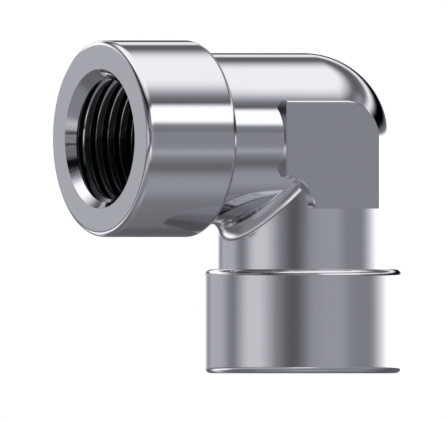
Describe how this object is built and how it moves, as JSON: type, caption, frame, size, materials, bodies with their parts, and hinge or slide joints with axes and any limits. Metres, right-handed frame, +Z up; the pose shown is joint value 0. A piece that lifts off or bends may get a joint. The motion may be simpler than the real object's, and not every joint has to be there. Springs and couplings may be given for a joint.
{
  "type": "elbow fitting",
  "caption": "Right-angle pipe elbow in plated metal, with a threaded female port and a round collar at each end, a ball-shaped outer corner and L-shaped wrench flats.",
  "frame": {"origin": "centre of the lower port's face, on that port's axis", "axes": "+Z up the lower port's axis into the body; -X out of the side port; the two port axes cross at x 0, y 0, z 23 mm; -Y is the front wrench flat's side"},
  "size_m": [0.0327, 0.0192, 0.0327],
  "materials": {
    "nickel_plate": "polished nickel plate on brass"
  },
  "bodies": {
    "root": {"elbow_body": "nickel_plate"}
  },
  "joints": []
}
